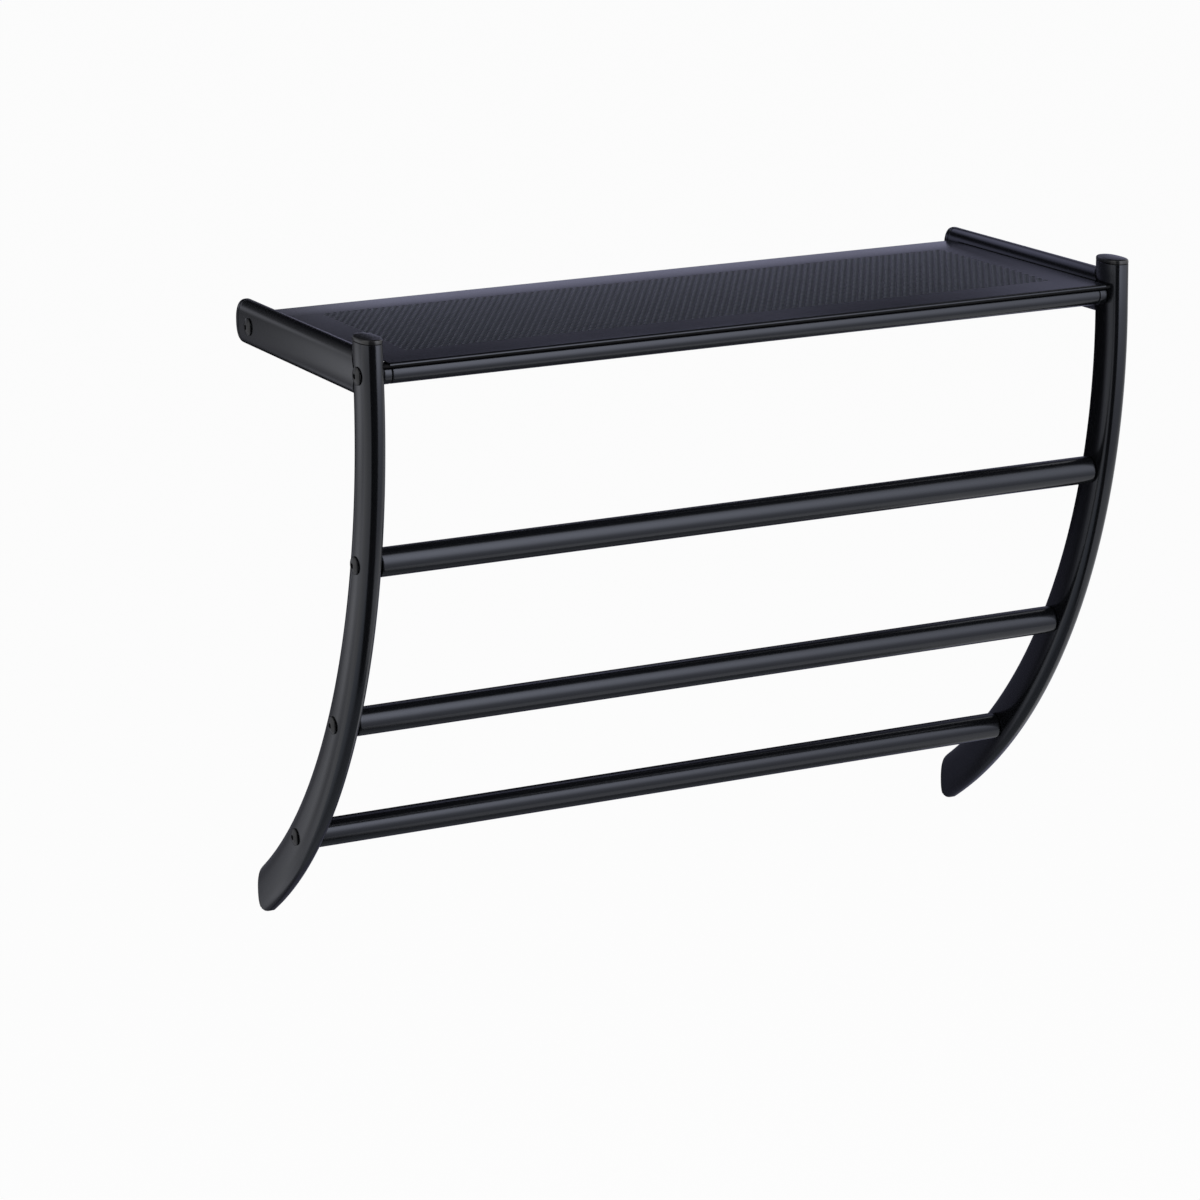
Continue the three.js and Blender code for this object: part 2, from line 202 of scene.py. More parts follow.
def ramp(finish, value, stops):
    """A level that follows a value through (place, level) stops and stays even beyond them."""
    start, end = stops[0][0], stops[-1][0]
    greys = [((place - start) / (end - start), grey(level)) for place, level in stops]
    return finish.node("ShaderNodeValToRGB", {"stops": greys}, {"Fac": (value - start) / (end - start)})


# ---- finishes


def surface(finish, colour, rough, height, relief, constants):
    """The end of a finish; relief is the strength and the depth in metres of the bumps drawn by height."""
    strength, depth = relief
    bump = finish.node("ShaderNodeBump", {}, {"Strength": strength, "Distance": depth, "Height": height})
    varying = {"Base Color": colour, "Roughness": rough, "Normal": bump}
    finish.end(finish.node("ShaderNodeBsdfPrincipled", {}, {"IOR": 1.5, **constants, **varying}))


def satin_paint(name, on_sheet=False):
    """Black powder paint: a fine, even orange peel and a satin gloss that wanders a little.
    On the perforated sheet the walls of the holes are duller, and painted a paler grey: a painted light on the
    hole walls."""
    material, f = new_finish(name)
    place = f.node("ShaderNodeTexCoord", output="Object")
    peel = noise(f, place, 1400.0, 2.0)
    drift = noise(f, place, 9.0, 3.0)
    flecks = noise(f, place, 420.0, 3.0)
    colour = blend(f, drift, (0.0022, 0.0024, 0.0030, 1.0), (0.0036, 0.0039, 0.0048, 1.0))
    rough = 0.14 + 0.05 * drift + 0.04 * flecks
    if on_sheet:
        facing = f.part(f.node("ShaderNodeNewGeometry", output="True Normal"), "Z")
        hole_wall = (facing * facing < 0.3) * (f.part(place, "Z") > SHEET_UNDER * MM)
        # Painted light: the hole walls get a paler grey than the paint, for the light they catch
        painted_wall_light = blend(f, flecks, (0.020, 0.022, 0.028, 1.0), (0.029, 0.032, 0.040, 1.0))
        colour = blend(f, hole_wall, colour, painted_wall_light)
        rough = rough + 0.3 * hole_wall
    surface(f, colour, rough, peel + 0.6 * flecks, (0.10, 0.00006), {"Specular Tint": (0.84, 0.88, 1.0, 1.0)})
    return material


def grained_black(name, deep, pale, drift_scale, grain_scale, relief, rough, constants):
    """Black with a fine grain, whose shade and gloss wander between two ends."""
    material, f = new_finish(name)
    place = f.node("ShaderNodeTexCoord", output="Object")
    grain = noise(f, place, grain_scale, 3.0)
    drift = noise(f, place, drift_scale, 2.0)
    glossy, dull = rough
    surface(f, blend(f, drift, deep, pale), glossy + (dull - glossy) * drift, grain, relief, constants)
    return material


PAINT = satin_paint("satin_black_paint")
SHEET_PAINT = satin_paint("satin_black_sheet_paint", on_sheet=True)

# Moulded plastic of the caps and plugs: duller than the paint, with a finely etched skin
PLASTIC = grained_black(
    "moulded_black_plastic",
    deep=(0.0060, 0.0062, 0.0070, 1.0),
    pale=(0.0100, 0.0102, 0.0115, 1.0),
    drift_scale=30.0,
    grain_scale=2200.0,
    relief=(0.25, 0.00005),
    rough=(0.2, 0.28),
    constants={},
)

# Blackened steel of the screws: a thin oxide over turned metal
SCREW = grained_black(
    "blackened_screw",
    deep=(0.0070, 0.0072, 0.0085, 1.0),
    pale=(0.0190, 0.0195, 0.0220, 1.0),
    drift_scale=120.0,
    grain_scale=900.0,
    relief=(0.15, 0.00004),
    rough=(0.22, 0.34),
    constants={"Metallic": 0.25},
)

# Wire in the sheet's edges, darker than the paint and hardly shining: a painted shade for the groove under the
# front lip
WIRE_PAINTED_SHADE = grained_black(
    "dull_black_wire_painted_shade",
    deep=(0.0016, 0.0017, 0.0020, 1.0),
    pale=(0.0034, 0.0036, 0.0042, 1.0),
    drift_scale=40.0,
    grain_scale=1100.0,
    relief=(0.2, 0.00004),
    rough=(0.5, 0.62),
    constants={"Specular IOR Level": 0.12},
)


# ---- mesh making


def new_object(name, data):
    made = bpy.data.objects.new(name, data)
    bpy.context.scene.collection.objects.link(made)
    return made


def make_piece(name, points, faces, material, slot, replaced):
    """One piece from points in millimetres, riding on the rack in place of its solids."""
    mesh = bpy.data.meshes.new(name)
    mesh.from_pydata((np.asarray(points, dtype=float) * MM).tolist(), [], [list(face) for face in faces])
    mesh.validate()
    mesh.update()
    mesh.shade_smooth()
    mesh.set_sharp_from_angle(angle=SHARP_FROM)
    made = new_object(name, mesh)
    mesh.materials.append(material)
    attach(made, "root")
    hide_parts(*replaced)


def ring(x, y, z):
    """The points of one ring; a single number holds for all of them."""
    return np.stack(np.broadcast_arrays(x, y, z), 1)


def skin(rings, close_end=True):
    """Rings of equally many points joined into one skin, with a flat face over its start and its end."""
    count = len(rings[0])
    points = np.concatenate(rings)
    faces = []
    for step in range(len(rings) - 1):
        low, high = step * count, (step + 1) * count
        for i in range(count):
            j = (i + 1) % count
            faces.append((low + i, low + j, high + j, high + i))
    faces.append(tuple(reversed(range(count))))
    if close_end:
        faces.append(tuple(range(len(points) - count, len(points))))
    return points, faces


def circle(size, sides, turn=0.0):
    """Points round a circle of a given size across, the first one turned by an angle."""
    angle = 2 * math.pi * np.arange(sides) / sides + turn
    return np.stack([size / 2 * np.cos(angle), size / 2 * np.sin(angle)], 1)


def tube_section(inset=0.0):
    """The oval tube's outline, fuller than an ellipse: how far each point is toward the front and aside."""
    angle = 2 * math.pi * np.arange(OVAL_POINTS) / OVAL_POINTS

    def bulge(value):
        return np.sign(value) * np.abs(value) ** (2 / OVAL_POWER)

    return (TUBE_DEEP / 2 - inset) * bulge(np.cos(angle)), (TUBE_WIDE / 2 - inset) * bulge(np.sin(angle))


def edge_round(radius, steps):
    """Inset and set-back of a rounded edge, from the end face out to the full section."""
    turns = [math.pi / 2 * step / steps for step in range(steps + 1)]
    return [(radius * (1 - math.sin(turn)), radius * (1 - math.cos(turn))) for turn in turns]


def round_tube(size, start, end, y, z, edge, sides=BAR_POINTS):
    """A round bar along X with rounded edges and, beside them, a ring that keeps its shading straight."""
    rounded = edge_round(edge, BAR_EDGE_STEPS)
    profile = [(size - 2 * inset, start + back) for inset, back in rounded]
    profile += [(size, start + edge + EVEN_FROM_EDGE), (size, end - edge - EVEN_FROM_EDGE)]
    profile += [(size - 2 * inset, end - back) for inset, back in reversed(rounded)]
    rings = []
    for ring_size, x in profile:
        out, up = circle(ring_size, sides).T
        rings.append(ring(x, y + out, z + up))
    return skin(rings)


# ---- side frames


def on_bend(offset, angle):
    """A point beside the centre line of the bend, toward the front by offset."""
    radius = BEND_RADIUS + offset
    return BEND_Y - radius * np.cos(angle), BEND_Z - radius * np.sin(angle)


def angle_at_wall(radius, wall_gap):
    """Where a line of the bent tube, by its radius, meets the cut foot: at the wall, its tip or its heel."""
    turn = math.acos((BEND_Y + wall_gap) / radius)
    for round_radius, centre_z, outward in ((TIP_RADIUS, TIP_Z, 1), (HEEL_RADIUS, HEEL_Z, -1)):
        drop = BEND_Z - centre_z
        if outward * (radius - math.hypot(BEND_Y, drop)) > 0:
            reach = math.hypot(BEND_Y + round_radius, drop)
            share = (radius**2 + reach**2 - round_radius**2) / (2 * radius * reach)
            turn = min(turn, math.atan2(drop, BEND_Y + round_radius) + math.acos(min(1.0, share)))
    return turn


def close_across(points, faces):
    """The last oval ring closed by strips from side to side, so that the end may be hollowed or slanted."""
    last = len(points) - OVAL_POINTS
    for i in range(OVAL_POINTS // 2):
        other = OVAL_POINTS - i
        corners = [last + i, last + i + 1, last + other - 1, last + other % OVAL_POINTS]
        faces.append(tuple(corner for k, corner in enumerate(corners) if corner not in corners[:k]))
    return points, faces


def upright_skin(x):
    """The bent oval tube from under its cap to the foot, its end cut along the wall."""
    top = ARM_DROP - CAP_THICK - GAP
    rings = []
    for inset, back in edge_round(TUBE_EDGE, TUBE_EDGE_STEPS):
        front, aside = tube_section(inset)
        rings.append(ring(x + aside, UPRIGHT_Y - front, top - back))
    front, aside = tube_section()
    ends = np.array([angle_at_wall(BEND_RADIUS + offset, FOOT_FLANGE + GAP) for offset in front])
    for step in range(BEND_STEPS + 1):
        y, z = on_bend(front, ends * (step / BEND_STEPS))
        rings.append(ring(x + aside, y, z))
    return close_across(*skin(rings, close_end=False))


def foot_flange(x):
    """The plug's flange between the tube's end and the wall, by its rings' places and insets."""
    tube_side = [(-FOOT_FLANGE, 0.25), (-FOOT_FLANGE + 0.2, 0.05), (-1.2, 0.0)]
    wall_side = [(-0.35, 0.0), (-0.1, 0.1), (0.0, 0.4)]
    rings = []
    for y, inset in tube_side + wall_side:
        front, aside = tube_section(inset)
        z = BEND_Z - np.sqrt((BEND_RADIUS + front) ** 2 - (y - BEND_Y) ** 2)
        low = TIP_Z - math.sqrt(max(0.0, TIP_RADIUS**2 - (y + TIP_RADIUS) ** 2)) + inset
        high = HEEL_Z + math.sqrt(max(0.0, HEEL_RADIUS**2 - (y + HEEL_RADIUS) ** 2)) - inset
        rings.append(ring(x + aside, y, np.clip(z, low, high)))
    return skin(rings)


def cap_skin(x):
    """The cap's lid, its top edge rounded and its top a little domed."""
    seam, dome = 0.15, 0.45
    lid = [(seam, -CAP_THICK), (0.0, -CAP_THICK + seam)]
    lid += [(inset, -dome - back) for inset, back in reversed(edge_round(CAP_EDGE, CAP_STEPS))]
    for share in (0.85, 0.7, 0.55, 0.4, 0.25, 0.12):
        lid.append((CAP_EDGE + (1 - share) * (TUBE_WIDE / 2 - CAP_EDGE), -dome * share**2))
    rings = []
    for inset, rise in lid:
        front, aside = tube_section(inset)
        rings.append(ring(x + aside, UPRIGHT_Y - front, ARM_DROP + rise))
    return skin(rings)


def upright_back(across):
    """Where the arm ends in front: a gap behind the upright's rounded back, at each place across it."""
    deep, wide = TUBE_DEEP / 2 + GAP, TUBE_WIDE / 2 + GAP
    return UPRIGHT_Y + deep * (1 - (np.abs(across) / wide) ** OVAL_POWER) ** (1 / OVAL_POWER)


def arm_skin(x):
    """The straight oval tube from the wall bracket to the upright, cut in front to the upright's back."""
    wall_end = -BRACKET_NOSE - GAP
    rounded = edge_round(TUBE_EDGE, TUBE_EDGE_STEPS)
    rings = []
    for inset, back in rounded:
        rise, aside = tube_section(inset)
        rings.append(ring(x + aside, wall_end - back, -rise))
    rise, aside = tube_section()
    rings.append(ring(x + aside, wall_end - TUBE_EDGE - EVEN_FROM_EDGE, -rise))
    rings.append(ring(x + aside, upright_back(aside) + TUBE_EDGE + EVEN_FROM_EDGE, -rise))
    for inset, back in reversed(rounded):
        rise, aside = tube_section(inset)
        rings.append(ring(x + aside, upright_back(aside) + back, -rise))
    for share in (0.85, 0.7, 0.55, 0.4, 0.25, 0.1):
        rings.append(ring(x + share * aside, upright_back(share * aside), -rise))
    return close_across(*skin(rings, close_end=False))


def bracket_skin(x):
    """The bracket's rounded nose on the wall, with the body that goes into the arm."""
    body_inset, nose_end = TUBE_WALL + GAP, -BRACKET_NOSE
    profile = [(body_inset, nose_end - BRACKET_BODY), (body_inset, nose_end)]
    profile += [(TUBE_EDGE, nose_end), (0.0, nose_end + TUBE_EDGE)]
    profile += [(inset, -back) for inset, back in reversed(edge_round(BRACKET_ROUND, NOSE_STEPS))]
    rings = []
    for inset, y in profile:
        rise, aside = tube_section(inset)
        rings.append(ring(x + aside, y, rise))
    return skin(rings)


def screw_skin(side, y, z):
    """A low domed head with a rounded shoulder and a hexagon recess, and the start of its shank below."""
    seat = UPRIGHT_X + TUBE_WIDE / 2 + GAP
    shank = [(SHANK_SIZE, -1.6), (SHANK_SIZE, -0.2)]
    skirt = [(HEAD_SIZE - 0.5, -0.2), (HEAD_SIZE - 0.1, -0.1), (HEAD_SIZE, 0.04)]
    shoulder = [(HEAD_SIZE, 0.3), (HEAD_SIZE - 0.18, 0.52), (HEAD_SIZE - 0.54, 0.74), (HEAD_SIZE - 1.2, 0.96)]
    dome_high = HEAD_HIGH - HEAD_RIM
    dome = [(HEAD_SIZE * share, HEAD_RIM + dome_high * (1 - share**2)) for share in (0.82, 0.72, 0.6, 0.5)]
    sections = [(circle(size, SCREW_POINTS), rise) for size, rise in shank + skirt + shoulder + dome]

    angle = 2 * math.pi * np.arange(SCREW_POINTS) / SCREW_POINTS
    half_flat = math.pi / 6
    from_flat = (angle + half_flat) % (2 * half_flat) - half_flat
    reach = RECESS_SIZE / 2 * math.cos(half_flat) / np.cos(from_flat)
    hexagon = np.stack([reach * np.cos(angle), reach * np.sin(angle)], 1)
    brim = HEAD_RIM + dome_high * (1 - (RECESS_SIZE / HEAD_SIZE) ** 2)
    floor = HEAD_HIGH - RECESS_DEEP
    recess = [(1.12, brim - 0.02), (1.0, brim - 0.18), (1.0, floor), (0.35, floor - 0.35)]
    sections += [(hexagon * share, rise) for share, rise in recess]

    rings = [ring(seat + rise, y + section[:, 0], z + section[:, 1]) for section, rise in sections]
    points, faces = skin(rings)
    points[:, 0] *= side
    if side < 0:
        faces = [tuple(reversed(face)) for face in faces]
    return points, faces


def along(distance):
    """The centre line of an upright by distance from the top of its cap."""
    y, z = on_bend(0.0, (distance - STRAIGHT_TOP) / BEND_RADIUS)
    return float(y), float(z)


STATIONS = {
    "shelf": (UPRIGHT_Y, 0.0),
    "upper": along(UPPER_ALONG),
    "middle": along(MIDDLE_ALONG),
    "lower": along(LOWER_ALONG),
}


def side_frame(name, side):
    x = side * UPRIGHT_X
    make_piece(f"{name}_upright_tube", *upright_skin(x), PAINT, "paint", [f"{name}_upright"])
    make_piece(f"{name}_cap_lid", *cap_skin(x), PLASTIC, "plastic", [f"{name}_top_cap"])
    make_piece(f"{name}_foot_flange", *foot_flange(x), PLASTIC, "plastic", [f"{name}_foot_plug"])
    make_piece(f"{name}_arm_tube", *arm_skin(x), PAINT, "paint", [f"{name}_side_arm"])
    make_piece(f"{name}_bracket_nose", *bracket_skin(x), PAINT, "paint", [f"{name}_wall_bracket"])
    lock = screw_skin(side, -LOCK_FROM_WALL, 0.0)
    make_piece(f"{name}_lock_screw", *lock, SCREW, "screw", [f"{name}_bracket_screw"])
    for bar, (y, z) in STATIONS.items():
        screw = screw_skin(side, y, z)
        make_piece(f"{name}_{bar}_screw", *screw, SCREW, "screw", [f"{name}_{bar}_bar_screw"])


# ---- bars and rail


def bars():
    for bar in ("upper", "middle", "lower"):
        y, z = STATIONS[bar]
        tube = round_tube(BAR_SIZE, -BAR_HALF, BAR_HALF, y, z, BAR_EDGE)
        make_piece(f"{bar}_bar_tube", *tube, PAINT, "paint", [f"{bar}_towel_bar"])
    tube = round_tube(RAIL_SIZE, -RAIL_HALF, RAIL_HALF, UPRIGHT_Y, 0.0, BAR_EDGE)
    make_piece("shelf_rail_tube", *tube, PAINT, "paint", ["shelf_rail"])
    for name, side in SIDES.items():
        start, end = sorted((side * (BAR_HALF - COLLAR_LONG), side * BAR_HALF))
        collar = round_tube(RAIL_SIZE, start, end, UPRIGHT_Y, 0.0, BAR_EDGE)
        make_piece(f"{name}_collar_ring", *collar, PAINT, "paint", [f"{name}_rail_collar"])


# ---- perforated shelf

# One hole's cell of the sheet: the points of its border and of the hole's rim, from the hole's middle
CELL_HALF, CELL_RISE = HOLE_PITCH / 2, ROW_HIGH / 2
CELL_RIGHT = [(CELL_HALF, -CELL_RISE), (CELL_HALF, CELL_RISE)]
CELL_LEFT = [(-CELL_HALF, CELL_RISE), (-CELL_HALF, -CELL_RISE)]
CELL_BORDER = [*CELL_RIGHT, (0, CELL_RISE), *CELL_LEFT, (0, -CELL_RISE)]
CELL = [*CELL_BORDER, *circle(HOLE_SIZE, HOLE_POINTS, math.pi / HOLE_POINTS)]


class SheetSkin:
    """The sheet's points and faces, gathered face by face and welded at the end."""

    def __init__(self):
        self.points = []
        self.faces = []

    def add(self, points, faces):
        start = len(self.points)
        self.points.extend(points)
        self.faces.extend(tuple(start + i for i in face) for face in faces)

    def face(self, points, turned=False):
        """One face round its points; turned, it looks the other way."""
        order = range(len(points))
        self.add(points, [reversed(order) if turned else order])

    def welded(self):
        """Points that lie on one place made one, and faces without repeated corners."""
        points, where = np.unique(np.round(np.array(self.points), 5), axis=0, return_inverse=True)
        where = where.ravel()
        faces = []
        for face in self.faces:
            corners = [int(where[i]) for i in face]
            corners = [corner for k, corner in enumerate(corners) if corner != corners[k - 1]]
            if len(corners) > 2:
                faces.append(tuple(corners))
        return points, faces


def hole_rows():
    """Where the middle of each row lies and how many holes it has, from the front."""
    return [(FIELD_FRONT + ROW_HIGH * (row + 0.5), HOLES_IN_ROW - row % 2) for row in range(HOLE_ROWS)]


def cell_faces():
    """The triangles of one cell between its border and the hole's rim, seen from above."""
    turns = [math.atan2(y, x) % (2 * math.pi) for x, y in CELL]
    order = sorted(range(len(CELL)), key=lambda i: turns[i])
    border = [i for i in order if i < len(CELL_BORDER)][-1]
    rim = [i for i in order if i >= len(CELL_BORDER)][-1]
    faces = []
    for i in order:
        if i < len(CELL_BORDER):
            faces.append((border, i, rim))
            border = i
        else:
            faces.append((rim, border, i))
            rim = i
    return faces


def add_holes(sheet):
    """Every hole with its cell on the sheet's top and underside and the wall between them."""
    top_faces = cell_faces()
    under_faces = [tuple(reversed(face)) for face in top_faces]
    nexts = [(i + 1) % HOLE_POINTS for i in range(HOLE_POINTS)]
    wall_faces = [(i, HOLE_POINTS + i, HOLE_POINTS + after, after) for i, after in enumerate(nexts)]
    for y, holes in hole_rows():
        for hole in range(holes):
            x = HOLE_PITCH * (hole - (holes - 1) / 2)
            top, under = ([(x + a, y + b, z) for a, b in CELL] for z in (SHEET_TOP, SHEET_UNDER))
            sheet.add(top, top_faces)
            sheet.add(under, under_faces)
            sheet.add(top[len(CELL_BORDER):] + under[len(CELL_BORDER):], wall_faces)


def add_borders(sheet, z, up):
    """The plain sheet round the field of holes, on one of its faces."""
    wide = HOLES_IN_ROW * HOLE_PITCH / 2
    for middle, holes in hole_rows():
        low, high = middle - ROW_HIGH / 2, middle + ROW_HIGH / 2
        for side in SIDES.values():
            near = side * holes * HOLE_PITCH / 2
            outline = [(side * SHEET_HALF, low), (side * wide, low)]
            if near != side * wide:
                outline += [(near, low), (near, high)]
            outline += [(side * wide, high), (side * SHEET_HALF, high)]
            sheet.face([(x, y, z) for x, y in outline], turned=(side > 0) == up)
    line = [-SHEET_HALF, *(HOLE_PITCH / 2 * np.arange(-HOLES_IN_ROW, HOLES_IN_ROW + 1)), SHEET_HALF]
    front = [(x, FIELD_FRONT) for x in reversed(line)] + [(-SHEET_HALF, FRONT_ROLL), (SHEET_HALF, FRONT_ROLL)]
    rear = [(x, FIELD_REAR) for x in line] + [(SHEET_HALF, REAR_ROLL), (-SHEET_HALF, REAR_ROLL)]
    for outline in (front, rear):
        sheet.face([(x, y, z) for x, y in outline], turned=not up)


def roll_chain(centre, radius, turn):
    """One side of a rolled edge, from its lip up to the flat sheet."""
    angles = [math.pi / 2 + turn * (1 - step / ROLL_STEPS) for step in range(ROLL_STEPS + 1)]
    return [(centre + radius * math.cos(angle), ROLL_Z + radius * math.sin(angle)) for angle in angles]


def add_roll(sheet, centre, turn):
    """A rolled edge: its outer and inner side, its lip and its two ends."""
    rear = turn < 0
    outer, inner = (roll_chain(centre, radius, turn) for radius in (ROLL_OUTER, ROLL_INNER))
    lip = [inner[0], outer[0]]
    for chain, turned in ((outer, rear), (inner, not rear), (lip, rear)):
        for low, high in zip(chain, chain[1:]):
            corners = [(-SHEET_HALF, *low), (SHEET_HALF, *low), (SHEET_HALF, *high), (-SHEET_HALF, *high)]
            sheet.face(corners, turned)
    for side in SIDES.values():
        for i in range(ROLL_STEPS):
            corners = [outer[i], outer[i + 1], inner[i + 1], inner[i]]
            sheet.face([(side * SHEET_HALF, *corner) for corner in corners], turned=(side > 0) != rear)


def add_side_edges(sheet):
    """The thin left and right edges of the flat sheet."""
    marks = [FRONT_ROLL, *(FIELD_FRONT + ROW_HIGH * row for row in range(HOLE_ROWS + 1)), REAR_ROLL]
    for side in SIDES.values():
        for start, end in zip(marks, marks[1:]):
            corners = [(start, SHEET_UNDER), (end, SHEET_UNDER), (end, SHEET_TOP), (start, SHEET_TOP)]
            sheet.face([(side * SHEET_HALF, *corner) for corner in corners], turned=side < 0)


def shelf():
    sheet = SheetSkin()
    add_holes(sheet)
    add_borders(sheet, SHEET_TOP, up=True)
    add_borders(sheet, SHEET_UNDER, up=False)
    add_roll(sheet, FRONT_ROLL, FRONT_TURN)
    add_roll(sheet, REAR_ROLL, -REAR_TURN)
    add_side_edges(sheet)
    make_piece("perforated_sheet", *sheet.welded(), SHEET_PAINT, "paint", ["shelf_panel"])
    for edge, y in (("front", FRONT_ROLL), ("rear", REAR_ROLL)):
        # Both rods take the darker, duller wire finish, a painted shade for the groove under the front lip
        rod = round_tube(ROD_SIZE, -ROD_HALF, ROD_HALF, y, ROLL_Z, ROD_EDGE, ROD_POINTS)
        make_piece(f"{edge}_rod_wire", *rod, WIRE_PAINTED_SHADE, "paint", [f"shelf_{edge}_rod"])


for frame_name, frame_side in SIDES.items():
    side_frame(frame_name, frame_side)
bars()
shelf()

# The plugs and tenons inside the tubes keep their solids, with the finish of their kind
for node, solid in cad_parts.items():
    if node.endswith(("_plug", "_tenon")):
        solid.data.materials.clear()
        solid.data.materials.append(PAINT if node.endswith("_tenon") else PLASTIC)


# ---- floor, light and camera, in metres


def stage_piece(name, corners, material):
    """One flat piece of the studio."""
    mesh = bpy.data.meshes.new(name)
    mesh.from_pydata(corners, [], [tuple(range(len(corners)))])
    made = new_object(name, mesh)
    mesh.materials.append(material)
    return made


def upright_corners(left, right, low, high, y):
    return [(left, y, low), (right, y, low), (right, y, high), (left, y, high)]


def level_corners(left, right, front, rear, z):
    return [(left, front, z), (right, front, z), (right, rear, z), (left, rear, z)]


def seen_rays(finish, camera_share=1.0, gloss_share=1.0):
    """How far a ray shows the background: to the camera, and in gloss or through glass."""
    kinds = ("Camera", "Glossy", "Transmission")
    camera, glossy, through = (finish.node("ShaderNodeLightPath", output=f"Is {kind} Ray") for kind in kinds)
    return (camera * camera_share).larger(glossy.larger(through) * gloss_share)


def pale_floor():
    """A pale floor that keeps the rack's shadow and is paler still to the camera."""
    material, f = new_finish("pale_floor")
    lit = f.node("ShaderNodeBsdfDiffuse", {}, {"Color": grey(0.92)})
    white = f.node("ShaderNodeEmission", {}, {"Color": grey(1.0), "Strength": 1.0})
    f.end(f.node("ShaderNodeMixShader", {}, {0: seen_rays(f, 0.94, 0.55), 1: lit, 2: white}))
    far = 60.0
    stage_piece("floor", level_corners(-far, far, -far, far, -1.6), material)


def white_world():
    """White to the camera and in reflections, and an even soft light on the rack."""
    world = bpy.data.worlds.new("studio_world")
    bpy.context.scene.world = world
    world.use_nodes = True
    f = Finish(world.node_tree)
    lighting = 0.55
    level = lighting + (1.0 - lighting) * seen_rays(f)
    f.end(f.node("ShaderNodeBackground", {}, {"Color": level, "Strength": 1.0}), "ShaderNodeOutputWorld")


def card(name, corners, material):
    """A studio card that shows only as a reflection in the paint."""
    made = stage_piece(name, corners, material)
    made.visible_camera = False
    made.visible_diffuse = False
    made.visible_shadow = False
    made.visible_transmission = False


def glow(finish, colour, level):
    """The end of a card's finish: light of one colour, at a level that may change over the card."""
    lit = finish.node("ShaderNodeVectorMath", {"operation": "SCALE"}, {0: colour, "Scale": level})
    finish.end(finish.node("ShaderNodeEmission", {}, {"Color": lit, "Strength": 1.0}))


def card_place(finish):
    """How far to the right and how high a point of a card is."""
    place = finish.node("ShaderNodeTexCoord", output="Object")
    return finish.part(place, "X"), finish.part(place, "Z")


def card_above_finish():
    """The room above, almost dark."""
    material, f = new_finish("card_above")
    glow(f, (0.94, 1.0, 1.12), 0.02)
    return material


def camera_card_finish():
    """Black beside the camera, paler far out to the left."""
    material, f = new_finish("card_beside_camera")
    across, _ = card_place(f)
    glow(f, (1.0, 1.0, 1.0), ramp(f, across, [(-3.5, 0.9), (-3.0, 0.5), (-2.6, 0.05), (-1.8, 0.01)]))
    return material


def card_beneath_finish():
    """The floor beneath: dim under the rack, paler out to the left."""
    material, f = new_finish("card_beneath")
    across, _ = card_place(f)
    glow(f, (0.94, 1.0, 1.08), ramp(f, across, [(-2.2, 0.7), (-1.1, 0.55), (-0.5, 0.26), (0.8, 0.22)]))
    return material


def rear_card_finish():
    """The dark room behind the rack. It is open to the left and a little to the right, with a pale strip low
    down, one above the shelf, and two small pale places for the left foot and the left arm's lower edge."""
    material, f = new_finish("rear_studio_card")
    across, rise = card_place(f)

    def patch(across_stops, rise_stops):
        return ramp(f, across, across_stops) * ramp(f, rise, rise_stops)

    left_edge = [(-0.84, 0.9), (-0.68, 0.6), (-0.58, 0.72), (-0.54, 0.82), (-0.52, 0.74)]
    left_fade = [(-0.49, 0.5), (-0.455, 0.24), (-0.36, 0.12), (-0.26, 0.01)]
    left_low = [(-0.76, 0.5), (-0.6, 0.36), (-0.42, 0.44), (-0.38, 0.54), (-0.31, 0.6)]
    left_high = [(-0.22, 0.42), (-0.13, 0.66), (-0.05, 0.5), (0.1, 0.25)]
    open_left = 1.7 * patch(left_edge + left_fade, left_low + left_high)
    foot_spot = patch(
        [(-0.56, 0.0), (-0.5, 0.2), (-0.44, 0.25), (-0.38, 0.0)],
        [(-0.5, 1.0), (-0.45, 0.9), (-0.4, 0.0)],
    )
    arm_spot = 0.3 * patch(
        [(-0.41, 0.0), (-0.375, 1.0), (-0.35, 1.0), (-0.32, 0.0)],
        [(-0.34, 0.0), (-0.27, 1.0), (-0.22, 0.9), (-0.18, 0.25), (-0.12, 0.0)],
    )
    open_right = patch(
        [(0.42, 0.0), (0.5, 0.09), (0.56, 0.2), (0.62, 0.28), (0.96, 0.6)],
        [(0.3, 1.0), (0.6, 0.15)],
    )
    low_dark = [(-0.42, 0.15), (-0.3, 0.07), (-0.25, 0.01), (0.0, 0.01)]
    low_strip = patch(
        [(-0.26, 1.0), (-0.2, 0.5), (-0.12, 0.35), (-0.07, 0.8), (-0.03, 1.0)],
        low_dark + [(0.04, 0.55), (0.07, 0.55), (0.10, 0.02), (0.2, 0.02)],
    )
    high_strip = patch(
        [(-0.08, 0.0), (0.04, 0.5), (0.14, 0.85), (0.28, 1.0), (0.4, 0.5), (0.5, 0.15)],
        [(0.185, 0.0), (0.23, 0.85), (0.36, 0.85), (0.42, 0.0)],
    )
    left = open_left + foot_spot + arm_spot
    cool = ramp(f, across, [(-0.5, 0.0), (0.0, 1.0)])
    tint = blend(f, cool, (1.0, 1.015, 1.07, 1.0), (0.79, 0.8, 1.12, 1.0))
    glow(f, tint, left.larger(open_right).larger(low_strip + high_strip))
    return material


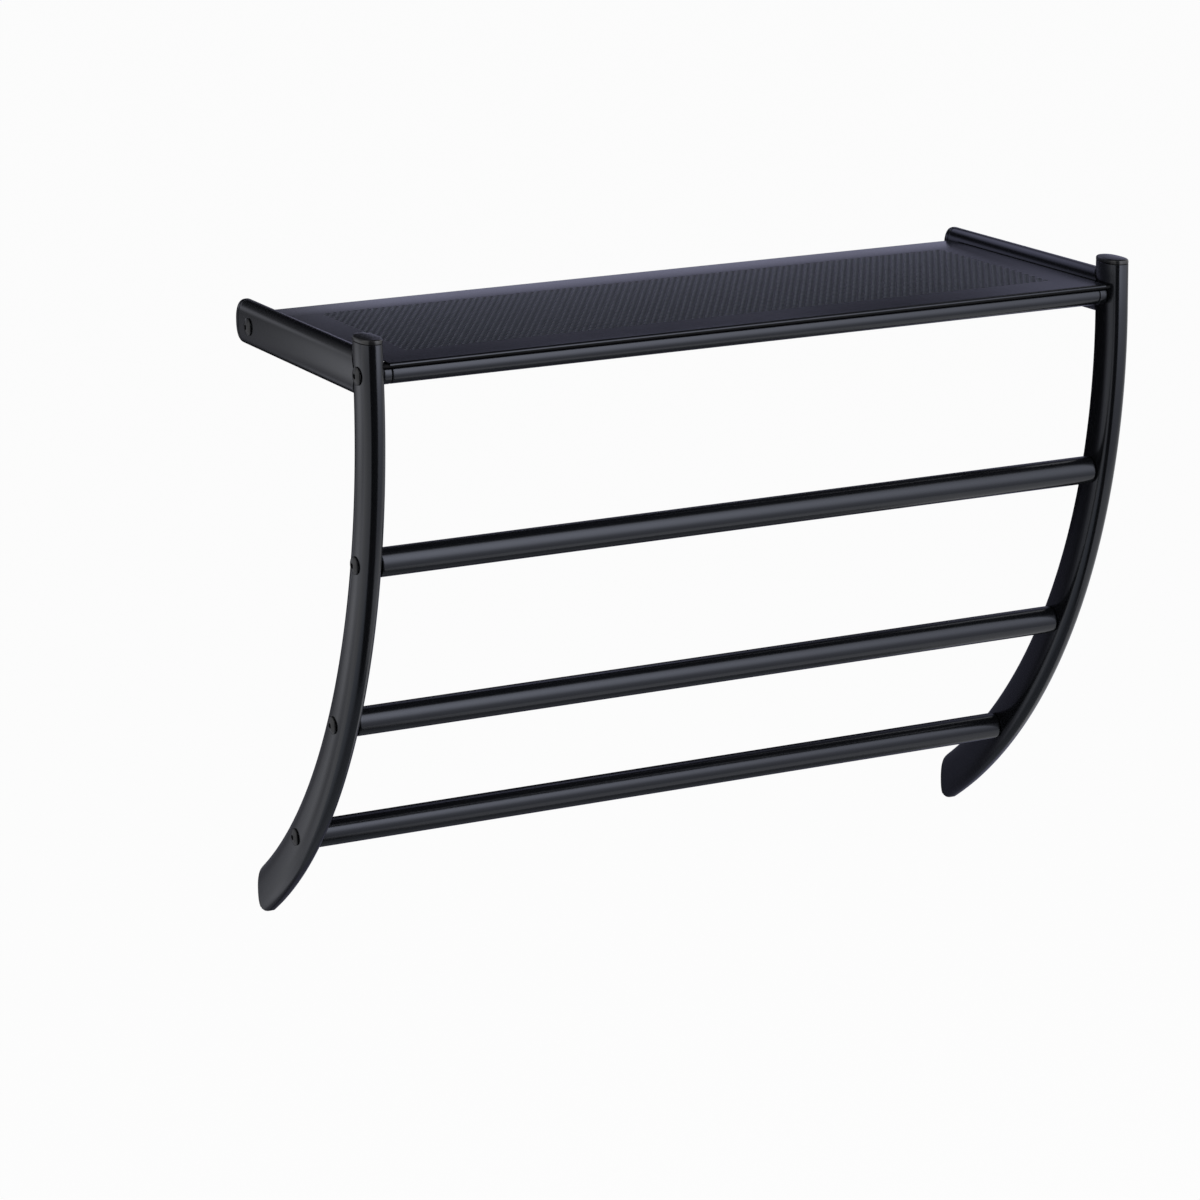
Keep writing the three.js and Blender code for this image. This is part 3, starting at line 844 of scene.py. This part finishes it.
def key_card_finish():
    """The bright soft panel in front, at the camera's right: brightest half way up and to the left."""
    material, f = new_finish("key_card")
    across, rise = card_place(f)
    low_steady = [(-0.8, 0.62), (-0.5, 0.74), (-0.33, 0.95), (-0.1, 1.15)]
    steady = ramp(f, rise, low_steady + [(0.8, 1.0), (1.25, 0.9), (1.4, 0.03)])
    low_bright = [(-0.33, 0.0), (-0.2, 0.15), (0.0, 0.6), (0.2, 0.9)]
    bright = ramp(f, rise, low_bright + [(0.5, 1.0), (0.75, 0.82), (1.22, 0.75), (1.4, 0.0)])
    fading = ramp(f, across, [(0.1, 1.0), (0.45, 0.72), (0.75, 0.42), (1.3, 0.25)])
    glow(f, (0.97, 0.985, 1.05), steady + 2.3 * bright * fading)
    return material


def studio_cards():
    """Cards round the rack, unseen by the camera: in front, behind, above, beneath and beside the camera."""
    low, top = -1.55, 2.2
    back, beside, front, above_front = 0.35, -0.84, -1.0, -1.2
    card("key_card", upright_corners(-0.15, 1.9, -0.8, 1.45, front), key_card_finish())
    card("rear_card", upright_corners(-0.85, 1.0, low, top, back), rear_card_finish())
    card("top_card", level_corners(-2.5, 2.5, above_front, back, top), card_above_finish())
    card("under_card", level_corners(-2.5, 0.9, beside, back, low), card_beneath_finish())
    slanted = [(-3.4, 1.0), (-3.4, low), (0.4, low), (-0.1, -0.5), (-0.1, 1.0)]
    card("camera_card", [(x, beside, z) for x, z in slanted], camera_card_finish())


def stand(thing, right, up, back, place):
    """A lamp or the camera set at its place and turned, with back away from what it faces."""
    rows = [[*row, at] for row, at in zip(np.stack([right, up, back], 1).tolist(), place)]
    thing.matrix_world = Matrix(rows + [[0, 0, 0, 1]])


def key_softbox():
    """A soft panel in front of the rack, a little to the right and above, aimed at its middle."""
    wide, high, distance, radiance = 2.7, 2.6, 3.0, 3.6
    turn, rise = math.radians(12.0), math.radians(38.0)
    light = bpy.data.lights.new("key_softbox", "AREA")
    light.shape = "RECTANGLE"
    light.size, light.size_y = wide, high
    light.energy = radiance * math.pi * wide * high
    lamp = new_object("key_softbox", light)
    lamp.visible_glossy = False
    out = np.array([math.sin(turn) * math.cos(rise), -math.cos(turn) * math.cos(rise), math.sin(rise)])
    right = np.array([math.cos(turn), math.sin(turn), 0.0])
    middle = np.array([0.0, -0.1, -0.2])
    stand(lamp, right, np.cross(out, right), out, (middle + out * distance).tolist())


def camera():
    """The photograph's view, found from the rack's own edges and corners."""
    yaw, pitch, roll = math.radians(25.4), math.radians(14.583), math.radians(-1.079)
    ahead = np.array([math.sin(yaw) * math.cos(pitch), math.cos(yaw) * math.cos(pitch), -math.sin(pitch)])
    level = np.array([math.cos(yaw), -math.sin(yaw), 0.0])
    upward = np.cross(level, ahead)
    right = math.cos(roll) * level + math.sin(roll) * upward
    up = math.cos(roll) * upward - math.sin(roll) * level
    lens = bpy.data.cameras.new("view")
    lens.sensor_width, lens.lens = 36.0, 124.229
    lens.clip_start, lens.clip_end = 0.1, 200.0
    made = new_object("view", lens)
    stand(made, right, up, -ahead, (-1.231132, -2.564034, 0.511322))
    bpy.context.scene.camera = made


pale_floor()
white_world()
studio_cards()
key_softbox()
camera()

bpy.context.scene.view_settings.view_transform = "Standard"
